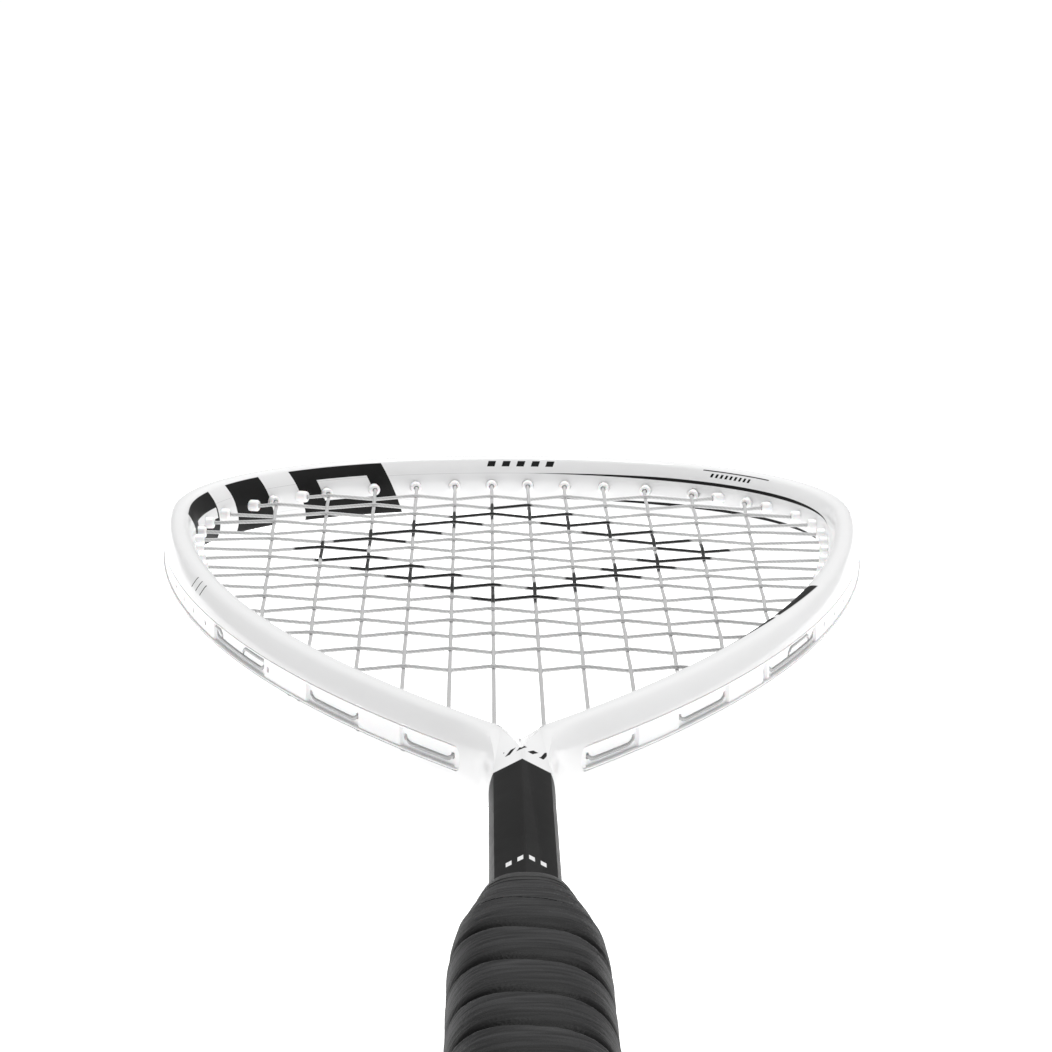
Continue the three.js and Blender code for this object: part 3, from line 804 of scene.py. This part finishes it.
def shaft_ink(s, x, y, z):
    """The black shaft with its white bars, and the black bars on the yoke."""
    leaning = s.math("MULTIPLY_ADD", y, BAR_LEAN, x)
    yoke_row = s.both(s.above(z, YOKE_TOP, 0.5), bar_row(s, YOKE_ROW, x, y, leaning))
    shaft_row = s.both(s.above(z, SHAFT_TOP, SIDE_SOFT), bar_row(s, SHAFT_ROW, x, y))
    edge_row = s.both(s.above(x, SHAFT_SIDE, 0.2), bar_row(s, EDGE_ROW, y, z))
    shaft = s.below(y, SHAFT_PAINT_END, SIDE_SOFT)
    return s.any(yoke_row, s.without(shaft, s.any(shaft_row, edge_row)))


def frame_material():
    s = Surface("frame_paint", **{"Coat Roughness": 0.08, "Specular IOR Level": 0.02})
    x, y, z = s.xyz()
    ink = s.any(hoop_ink(s, z), shaft_ink(s, x, y, z))
    white = s.mix(s.noise(0.03), grey(0.74), grey(0.77, (0, 0, 0.004)))
    dark = s.mix(s.noise(0.012, stretch=(1, 0.3, 1)), grey(0.012), grey(0.022))
    s.color(s.mix(ink, white, dark))
    glossy = s.remap(s.noise(0.006, 4), 0.16, 0.26)
    s.roughness(s.math("MULTIPLY_ADD", ink, 0.2, glossy))
    s.put(s.shader.inputs["Coat Weight"], s.remap(ink, 0.35, 0.0))
    s.bump(s.noise(0.0011, 2), 0.00002, 0.5)
    return s.material


def hull_tool(name, points):
    """A closed piece round a few points."""
    mesh = bmesh.new()
    for point in points:
        mesh.verts.new(point)
    bmesh.ops.convex_hull(mesh, input=mesh.verts)
    data = bpy.data.meshes.new(name)
    mesh.to_mesh(data)
    mesh.free()
    tool = bpy.data.objects.new(name, data)
    bpy.context.scene.collection.objects.link(tool)
    return outward(tool)


def ridge_cut(side, upper):
    """What lies beyond the slope of the shaft's ridge on one side, above or below."""
    top = TUBE_HEIGHT / 2
    edge = SHAFT_HALF_WIDTH + 1 * MM
    foot = top - RIDGE_SLOPE * edge
    cover = top + 1 * MM
    points = [
        (0, -1 * MM, top),
        (edge, -1 * MM, foot),
        (0, RIDGE_END_Y, top),
        (edge, RIDGE_END_Y, foot),
        (0, RIDGE_FADE_Y, top),
        (2 * edge, RIDGE_FADE_Y, top),
        (edge, -1 * MM, cover),
        (0, -1 * MM, cover),
        (2 * edge, RIDGE_FADE_Y, cover),
        (0, RIDGE_FADE_Y, cover),
    ]
    return hull_tool("ridge_tool", [(x * side, y, z * upper) for x, y, z in points])


def valley_cut(upper):
    """The dip of the throat between the flanks, above or below."""
    top = TUBE_HEIGHT / 2
    cover = top + 1 * MM
    rim = [(0, VALLEY_START_Y)]
    rim += [(VALLEY_HALF_WIDTH, VALLEY_END_Y), (-VALLEY_HALF_WIDTH, VALLEY_END_Y)]
    points = [(x, y, z * upper) for x, y in rim for z in (top, cover)]
    return hull_tool("valley_tool", [*points, (0, VALLEY_END_Y, (top - VALLEY_DEPTH) * upper)])


def finish_piece(piece, slot, *nodes):
    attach(piece, "root")
    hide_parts(*nodes)


def add_frame():
    material = frame_material()
    piece = outward(new_object("frame_moulding", *frame_mesh(), material))
    for upper in (1, -1):
        for side in (1, -1):
            boolean(piece, "DIFFERENCE", ridge_cut(side, upper))
        boolean(piece, "DIFFERENCE", valley_cut(upper))
    channel = outward(new_object("channel_tool", *channel_tool(), None))
    boolean(piece, "DIFFERENCE", channel)
    inside, outside = INNER_FACE - 2 * MM, OUTER_FACE - CHANNEL_DEPTH + 1 * MM
    radius = BARREL_RADIUS + BARREL_CLEARANCE
    drills = [turned(p, [(inside, radius), (outside, radius)], BARREL_SIDES) for p in passages]
    holes = outward(new_object("hole_tool", *joined(drills), None))
    boolean(piece, "DIFFERENCE", holes, 32)
    add_hoop_places(piece)
    finish_piece(piece, "frame_paint", "frame")


# ---- Grommet strips and bumper ----
# Painted light: a faint white glow on the grommet strips and bumper that lifts their shaded sides.
NYLON_SHADE_LIFT_GLOW = 0.06


def nylon_material(name, shade_value, roughness, tint=(0, 0, 0)):
    s = Surface(name, **{"Subsurface Weight": 0.15, "Subsurface Scale": 0.002})
    # Painted light: the nylon glows faintly to lift its shade.
    s.shader.inputs["Emission Color"].default_value = WHITE
    s.shader.inputs["Emission Strength"].default_value = NYLON_SHADE_LIFT_GLOW
    s.color(s.mix(s.noise(0.004), grey(shade_value - 0.03, tint), grey(shade_value, tint)))
    s.roughness(s.remap(s.noise(0.0015, 4), roughness - 0.05, roughness + 0.08))
    s.bump(s.noise(0.0005, 2), 0.00003, 0.4)
    return s.material


def loops_on(side):
    """Stretches of the channel, from exit to exit, where the strip is open over a string.

    Side is -1 or 1 for a grommet strip, which covers its crosses, and 0 for the bumper.
    """
    pairs = []
    for i in range(len(mains) - 1):
        end = "tip" if i % 2 == 1 else "throat"
        pairs.append((mains[i][end], mains[i + 1][end]))
    if side == 0:
        for k in range(len(crosses) - 1):
            end = "right" if k % 2 == 0 else "left"
            pairs.append((crosses[k][end], crosses[k + 1][end]))
    found = []
    for first, last in pairs:
        exits = sorted([first.exit_u(), last.exit_u()])
        if side == 0 or exits[0] * side > 0 or exits[1] * side > 0:
            found.append(exits)
    free = [mains[0]["tip"], mains[-1]["throat"], crosses[0]["left"], crosses[-1]["right"]]
    found += [[p.exit_u(), p.exit_u()] for p in free if side == 0 or p.side == side]
    return found


def strip_mesh(u_start, u_end, side, lip_top, flange):
    """The strip's base, with a lip along each edge and filled level where no string runs in it."""
    loops = loops_on(side)
    half = CHANNEL_HALF_HEIGHT - STRIP_GAP
    round_start = u_start if side <= 0 and not flange else None
    round_end = u_end if side > 0 and not flange else None

    def open_share(u):
        gaps = [max(low - LOOP_MARGIN - u, u - high - LOOP_MARGIN) for low, high in loops]
        return float(np.clip(0.5 - min(gaps) / LOOP_RAMP, 0, 1))

    def section(u):
        share = 1
        if round_start is not None:
            share = min(share, round_share(u, round_start, u + half, half))
        if round_end is not None:
            share = min(share, round_share(u, u - half, round_end, half))
        middle = STRIP_FILL + (STRIP_OPEN - STRIP_FILL) * open_share(u)
        inside = half - STRIP_LIP
        rows = [(STRIP_FLOOR, -half)]
        if flange:
            rows += [
                (OUTER_FACE + STRIP_GAP, -half),
                (OUTER_FACE + STRIP_GAP, -BUMPER_HALF_HEIGHT),
                (lip_top - 2 * STRIP_EASE, -BUMPER_HALF_HEIGHT),
                (lip_top, -BUMPER_HALF_HEIGHT + 2 * STRIP_EASE),
            ]
        else:
            rows += [(lip_top - STRIP_EASE, -half), (lip_top, -half + STRIP_EASE)]
        rows += [(lip_top, -inside - STRIP_EASE), (lip_top - STRIP_EASE, -inside)]
        rows.append((middle, -inside))
        low = np.array(rows)
        ring = np.vstack([low, low[::-1] * (1, -1)])
        ring[:, 1] *= share
        return ring

    steps = list(np.arange(u_start, u_end, STRIP_STEP)) + [u_end]
    for low, high in loops:
        for edge in (low - LOOP_MARGIN, high + LOOP_MARGIN):
            steps += [edge + shift * LOOP_RAMP for shift in (-0.6, -0.2, 0.2, 0.6)]
    turn = half * (1 - np.cos(np.linspace(0.1, math.pi / 2, END_POINTS)))
    if round_start is not None:
        steps = [u for u in steps if u > u_start + half] + list(u_start + turn)
    if round_end is not None:
        steps = [u for u in steps if u < u_end - half] + list(u_end - turn)
    steps = sorted(u for u in steps if u_start <= u <= u_end)
    spaced = [steps[0]]
    for u in steps[1:]:
        if u - spaced[-1] > LEAST_STEP:
            spaced.append(u)
    return loft(band_rings(spaced, section))


def barrel_profile():
    """Outside of a barrel, from inside the strip's base to its domed end at the bed."""
    tip = INNER_FACE - BARREL_STANDS_IN
    dome = [
        (tip + BARREL_DOME * (1 - math.sin(a)), BARREL_RADIUS - BARREL_DOME * (1 - math.cos(a)))
        for a in np.linspace(0, math.pi / 2, 6)
    ]
    return [(STRIP_FLOOR + STRIP_BASE / 2, BARREL_RADIUS), *dome]


def add_strip(name, u_start, u_end, side, lip_top, flange, material, slot, node):
    piece = outward(
        new_object(name, *strip_mesh(u_start, u_end, side, lip_top, flange), material)
    )
    held = [p for p in passages if u_start - 3 * MM < p.u < u_end + 3 * MM]
    barrels = [turned(p, barrel_profile(), BARREL_SIDES) for p in held]
    boolean(piece, "UNION", outward(new_object("barrel_tool", *joined(barrels), None)))
    bore = [(MOUTH - 1 * MM, BORE_RADIUS), (OUTER_FACE + 3 * MM, BORE_RADIUS)]
    bores = [turned(p, bore, BORE_SIDES) for p in held]
    boolean(piece, "DIFFERENCE", outward(new_object("bore_tool", *joined(bores), None)))
    finish_piece(piece, slot, node)


def add_strips():
    strip = nylon_material("grommet_nylon", 0.76, 0.3, (0, 0, 0.004))
    bumper = nylon_material("bumper_nylon", 0.78, 0.42)
    bumper_u = (1 - BUMPER_START) * HALF_LENGTH
    end_u = HALF_LENGTH - CHANNEL_START - STRIP_GAP
    gap = 0.25 * MM
    lip = OUTER_FACE - STRIP_GAP
    add_strip("grommets_left", -end_u, -bumper_u - gap, -1, lip, False, strip,
              "grommet_nylon", "grommet_strip_left")
    add_strip("grommets_right", bumper_u + gap, end_u, 1, lip, False, strip,
              "grommet_nylon", "grommet_strip_right")
    add_strip("bumper_guard", -bumper_u, bumper_u, 0, OUTER_FACE + BUMPER_PROUD, True, bumper,
              "bumper_nylon", "head_bumper")


# ---- Strings ----
def crossing_point(main_index, cross_index, is_main):
    """Where a main and a cross meet, over or under the string plane, or None outside the bed."""
    throat, tip = mains[main_index]["throat"], mains[main_index]["tip"]
    cross = crosses[cross_index]
    part = (cross["y"] - throat.mouth[1]) / (tip.mouth[1] - throat.mouth[1])
    x = throat.mouth[0] + (tip.mouth[0] - throat.mouth[0]) * part
    if part <= 0 or part >= 1 or abs(x) >= cross["right"].mouth[0]:
        return None
    main_is_above = (main_index + cross_index) % 2 == 0
    return np.array([x, cross["y"], WEAVE if main_is_above == is_main else -WEAVE])


def raised(point, z):
    return np.array([point[0], point[1], z])


def run_points(start, end, crossings, z, is_first, following):
    """A run of string and, unless it is the last, the stretch that takes it to the next hole.

    The stretch lies in the channel at height z.
    """
    points = [raised(start.at(FREE_END if is_first else 0), 0)]
    points += [raised(start.mouth, 0), *crossings, raised(end.mouth, 0)]
    if following is None:
        return points + [raised(end.at(FREE_END), 0)]
    points.append(raised(end.at(LOOP_LINE), 0))
    first, last = end.exit_u(), following.exit_u()
    turn = math.copysign(LOOP_TURN, last - first)
    count = max(2, int(abs(last - first) / LOOP_STEP))
    for u in np.linspace(first + turn, last - turn, count):
        points.append(raised(hoop(u, LOOP_LINE), z))
    points += [raised(following.at(LOOP_LINE), 0), raised(following.at(0), 0)]
    return points


def rounded_path(points, step, reach):
    """Points a step apart along a polyline, with its corners eased over a reach."""
    points = np.array(points)
    lengths = np.concatenate([[0], np.cumsum(np.linalg.norm(np.diff(points, axis=0), axis=1))])
    count = int(lengths[-1] / step)
    places = np.linspace(0, lengths[-1], count + 1)
    shifts = np.linspace(-reach, reach, 7)
    path = np.zeros((count + 1, 3))
    for shift in shifts:
        room = np.minimum(places, lengths[-1] - places)
        moved = places + np.clip(shift, -room, room)
        path += np.column_stack([np.interp(moved, lengths, points[:, i]) for i in range(3)])
    return path / len(shifts)


def tube_mesh(path, radius, sides):
    """A tube along a path that keeps near the string plane."""
    tangents = np.gradient(path, axis=0)
    tangents /= np.linalg.norm(tangents, axis=1)[:, None]
    upright = np.array([0, 0, 1.0])
    across = np.cross(upright, tangents)
    across /= np.linalg.norm(across, axis=1)[:, None]
    above = np.cross(tangents, across)
    angles = 2 * math.pi * np.arange(sides) / sides
    rings = [
        path + radius * (math.cos(a) * across + math.sin(a) * above) for a in angles
    ]
    return loft(np.stack(rings, 1))


STENCIL_CENTRE = 560
STENCIL_HALF_WIDTH = 70
STENCIL_HALF_LENGTH = 84
STENCIL_RING = (0.68, 1.0)
STENCIL_SOFT = 0.012


def string_material():
    s = Surface("string_nylon", **{"Specular IOR Level": 0.18})
    x, y, _ = s.xyz()
    wide = s.math("MULTIPLY", s.math("ABSOLUTE", x), 1 / STENCIL_HALF_WIDTH)
    off = s.math("ABSOLUTE", s.math("SUBTRACT", y, STENCIL_CENTRE))
    lozenge = s.math("MULTIPLY_ADD", off, 1 / STENCIL_HALF_LENGTH, wide)
    ragged = s.math("MULTIPLY_ADD", s.noise(0.0012, 2), 0.02, lozenge)
    ring = s.within(ragged, *STENCIL_RING, STENCIL_SOFT)
    facing = s.node("NewGeometry").outputs["Normal"]
    normal = s.node("SeparateXYZ")
    s.put(normal.inputs[0], facing)
    upper = s.remap(s.above(normal.outputs[2], -0.35, 0.5), 0.12, 1)
    ink = s.math("MULTIPLY", ring, upper)
    twist = s.node("TexWave", wave_type="BANDS", bands_direction="DIAGONAL")
    s.put(twist.inputs["Vector"], s.place())
    twist.inputs["Scale"].default_value = 520
    twist.inputs["Distortion"].default_value = 1.5
    filament = twist.outputs["Fac"]
    plain = s.mix(filament, grey(0.36), grey(0.5))
    worn = s.mix(s.noise(0.02), plain, grey(0.45))
    s.color(s.mix(ink, worn, grey(0.006)))
    s.roughness(s.remap(filament, 0.3, 0.42))
    s.bump(filament, 0.00004, 0.6)
    return s.material


def add_run(name, node, points, material):
    path = rounded_path(points, STRING_STEP, STRING_EASE)
    piece = new_object(name, *tube_mesh(path, STRING_RADIUS, STRING_SIDES), material, 60)
    finish_piece(outward(piece), "string_nylon", node)


def add_strings():
    material = string_material()
    for i, main in enumerate(mains):
        near, far = ("throat", "tip") if i % 2 == 1 else ("tip", "throat")
        found = [crossing_point(i, k, True) for k in range(len(crosses))]
        crossings = [p for p in found if p is not None]
        if near == "throat":
            crossings.reverse()
        following = mains[i + 1][far] if i + 1 < len(mains) else None
        points = run_points(main[near], main[far], crossings, -LOOP_OFFSET, i == 0, following)
        add_run(f"main_{i + 1:02d}", f"main_string_{i + 1:02d}", points, material)
    for k, cross in enumerate(crosses):
        near, far = ("left", "right") if k % 2 == 0 else ("right", "left")
        found = [crossing_point(i, k, False) for i in range(len(mains))]
        crossings = [p for p in found if p is not None]
        if near == "right":
            crossings.reverse()
        following = crosses[k + 1][far] if k + 1 < len(crosses) else None
        points = run_points(cross[near], cross[far], crossings, LOOP_OFFSET, k == 0, following)
        add_run(f"cross_{k + 1:02d}", f"cross_string_{k + 1:02d}", points, material)


# ---- Handle ----
def handle_half(y, column):
    """Half width (1) or half depth (2) of the wrapped handle, with its stations eased."""
    stations = np.array(HANDLE_STATIONS) * MM
    shifts = np.linspace(-STATION_EASE, STATION_EASE, 9)
    halves = [np.interp(y + s, stations[:, 0], stations[:, column]) for s in shifts]
    return np.mean(halves, axis=0)


def oval(angle):
    """Unit oval: how far out the surface is at an angle from +X."""
    across, up = np.abs(np.cos(angle)), np.abs(np.sin(angle))
    reach = (across**OVAL_POWER + up**OVAL_POWER) ** (-1 / OVAL_POWER)
    return reach * np.cos(angle), reach * np.sin(angle)


# The wrap's seams: the first one's place, the step between turns in mm and its change from one
# turn to the next. Across a turn, from 0 at its own edge to 1 at the next one's, the surface
# rises out of the groove, bulges, and falls into the next groove.
SEAM_Y = 151
SEAM_STEP = 21.7
SEAM_EASE = 0.46
GROOVE = 0.95 * MM
RISE_END = 0.05
BULGE = 0.12 * MM
BULGE_PLACE = 0.09
BULGE_SPREAD = 0.04
HOLLOW = 0.3 * MM
HOLLOW_PLACE = 0.4
FALL_START = 0.74
FALL_POWER = 1.5
TOP_SINK = 0.15 * MM
# Place across a turn given to the smooth top above the first seam, which the grip's painted shade
# leaves light.
TOP_BAND = 0.1
CREASE_DEPTH = 0.07 * MM
CREASE_AROUND = 2.2
CREASE_ALONG = 900


def wrap_turn(y):
    """Turns of the wrap from its top seam down to y; they lie closer together near the butt."""
    inside = SEAM_STEP**2 - 4 * SEAM_EASE * (SEAM_Y - y / MM)
    return (SEAM_STEP - np.sqrt(inside)) / (2 * SEAM_EASE)


def smooth_step(value, low, high):
    t = np.clip((value - low) / (high - low), 0, 1)
    return t * t * (3 - 2 * t)


def wrap_sink(turn):
    """Depth of the wrap's surface below the handle's, for turns counted from the top seam."""
    across = turn % 1
    sink = GROOVE * smooth_step(across, FALL_START, 1.0) ** FALL_POWER
    sink += GROOVE * (1 - smooth_step(across, 0.0, RISE_END))
    sink -= BULGE * np.exp(-(((across - BULGE_PLACE) / BULGE_SPREAD) ** 2))
    sink += HOLLOW * (across - HOLLOW_PLACE) ** 2
    return np.where(turn < 0, TOP_SINK, np.minimum(sink, GROOVE))


def grip_mesh():
    """The wrapped grip, with two values for each vertex by which its material paints shade across
    each turn and into the grooves.
    """
    angles = -math.pi / 2 - 2 * math.pi * np.arange(GRIP_SIDES) / GRIP_SIDES
    from_left = (math.pi - angles) % (2 * math.pi)
    cos, sin = oval(angles)
    around = [(c * CREASE_AROUND, s * CREASE_AROUND) for c, s in zip(cos, sin)]
    rings, sinks, bands = [], [], []
    for y in np.linspace(GRIP_START_Y, GRIP_END_Y, GRIP_ROWS):
        turn = wrap_turn(y) - (from_left - math.pi / 2) / (2 * math.pi)
        sink = wrap_sink(turn)
        sinks.append(sink / GROOVE)
        bands.append(np.where(turn < 0, TOP_BAND, turn % 1))
        places = [Vector((*place, y * CREASE_ALONG)) for place in around]
        creases = np.array([noise.fractal(place, 1, 2, 3) for place in places])
        sink = sink + CREASE_DEPTH * creases
        width, depth = handle_half(y, 1) - sink, handle_half(y, 2) - sink
        rings.append(np.column_stack([width * cos, np.full(GRIP_SIDES, y), depth * sin]))
    return loft(rings), {"sink": np.concatenate(sinks), "band": np.concatenate(bands)}


def grip_material():
    s = Surface("grip_wrap", **{"Specular IOR Level": 0.05})
    streak = s.noise(0.0035, 5, stretch=(0.25, 2.2, 0.25))
    sharp = s.above(streak, 0.5, 0.25)
    fine = s.noise(0.0006, 2)
    # Painted shade: each turn is coloured lighter at its edge towards the head and darker towards
    # the next seam, mixed with the wrap's own streaks.
    band = s.attribute("band")
    band_painted_shade = s.remap(s.math("MULTIPLY", band, band), 1.0, 0.05)
    streaks_and_band_shade = s.math("MULTIPLY", band_painted_shade, s.remap(sharp, 0.4, 1))
    lit = s.mix(streaks_and_band_shade, grey(0.006), grey(0.044, (0, 0, 0.001)))
    # Painted shade: near black where the wrap sinks into the groove between turns.
    groove_painted_shade = s.above(s.attribute("sink"), 0.4, 0.3)
    s.color(s.mix(groove_painted_shade, lit, grey(0.003)))
    s.roughness(s.remap(s.noise(0.003, 4, stretch=(0.4, 1.6, 0.4)), 0.4, 0.62))
    s.bump(s.math("MULTIPLY_ADD", streak, 1.5, fine), 0.00016, 0.8)
    return s.material


def add_grip():
    shape, attributes = grip_mesh()
    piece = outward(new_object("wrapped_grip", *shape, grip_material(), 50))
    for name, values in attributes.items():
        stored = piece.data.attributes.new(name, "FLOAT", "POINT")
        stored.data.foreach_set("value", values.astype(np.float32))
    finish_piece(piece, "grip_wrap", "grip")


def oval_solid(rows):
    """A closed solid through ovals. rows are (y, inset from the handle's surface)."""
    angles = 2 * math.pi * np.arange(HANDLE_SIDES) / HANDLE_SIDES
    cos, sin = oval(angles)
    rings = []
    for y, inset in rows:
        width, depth = handle_half(y, 1) - inset, handle_half(y, 2) - inset
        rings.append(np.column_stack([width * cos, np.full(HANDLE_SIDES, y), depth * sin]))
    return loft(rings)


def rubber_material(name, value, roughness):
    s = Surface(name, **{"Specular IOR Level": 0.2})
    s.color(s.mix(s.noise(0.003), grey(value * 0.8), grey(value * 1.2)))
    s.roughness(s.remap(s.noise(0.001, 4), roughness - 0.08, roughness + 0.08))
    s.bump(s.noise(0.0006, 3), 0.00005, 0.5)
    return s.material


# Rows of (y, inset) in mm: the collar's from its lower end and back from its upper end.
COLLAR_LOW_ROWS = [(0, 0.6), (0.2, 0.1), (1.6, 0), (2, 0.35), (2.6, 0.35), (3, 0)]
COLLAR_HIGH_ROWS = [(-1.2, 0.1), (-0.5, 0.3), (-0.1, 0.8), (0, 1.6)]
CAP_ROWS = [
    (0.9, 9), (0.9, 6.2), (0.5, 5.6), (0, 5.2), (0, 2.4), (0.15, 1.4), (0.6, 0.6), (1.3, 0.15),
    (2.1, 0.2), (2.2, 2.2), (24, 2.4),
]


def add_collar():
    low, high = GRIP_END_Y + 0.1 * MM, COLLAR_END_Y
    rows = [(low + y * MM, inset * MM) for y, inset in COLLAR_LOW_ROWS]
    rows += [(high + y * MM, inset * MM) for y, inset in COLLAR_HIGH_ROWS]
    material = rubber_material("collar_rubber", 0.02, 0.5)
    piece = outward(new_object("collar_ring", *oval_solid(rows), material, 40))
    finish_piece(piece, "collar_rubber", "grip_collar")


def add_butt_cap():
    rows = [(y * MM, inset * MM) for y, inset in CAP_ROWS]
    material = rubber_material("cap_plastic", 0.015, 0.4)
    piece = outward(new_object("butt_end_cap", *oval_solid(rows), material, 40))
    finish_piece(piece, "cap_plastic", "butt_cap")


def paint_hidden_nodes():
    foam = rubber_material("shell_foam", 0.3, 0.8)
    wire = Surface("staple_wire", **{"Metallic": 1.0})
    wire.color(wire.mix(wire.noise(0.002), grey(0.5), grey(0.65)))
    wire.roughness(wire.remap(wire.noise(0.0008), 0.25, 0.4))
    for kind, material in (("handle_shell", foam), ("cap_staple", wire.material)):
        for side in ("upper", "lower"):
            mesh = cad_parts[f"{kind}_{side}"].data
            mesh.materials.clear()
            mesh.materials.append(material)


# ---- Stage ----
def add_floor():
    bottom = cad_bounds[0][2]
    size = FLOOR_HALF_SIZE
    signs = ((-1, -1), (1, -1), (1, 1), (-1, 1))
    corners = [(x * size, y * size, bottom) for x, y in signs]
    s = Surface("floor_paint", **{"Roughness": 0.9, "Specular IOR Level": 0.0})
    s.color(s.mix(s.noise(0.2), grey(0.86), grey(0.88)))
    s.shader.inputs["Emission Color"].default_value = WHITE
    s.shader.inputs["Emission Strength"].default_value = FLOOR_GLOW
    floor = new_object("floor", corners, [(0, 1, 2, 3)], s.material)


def add_world():
    world = bpy.data.worlds.new("studio")
    bpy.context.scene.world = world
    world.use_nodes = True
    background = world.node_tree.nodes["Background"]
    background.inputs["Color"].default_value = WHITE
    background.inputs["Strength"].default_value = WORLD_STRENGTH


add_camera()
bpy.context.scene.view_settings.view_transform = "Standard"
add_world()
add_area_light("overhead", **OVERHEAD_LIGHT)
add_area_light("front", **FRONT_LIGHT)
add_floor()
add_frame()
add_strips()
add_strings()
add_grip()
add_collar()
add_butt_cap()
paint_hidden_nodes()
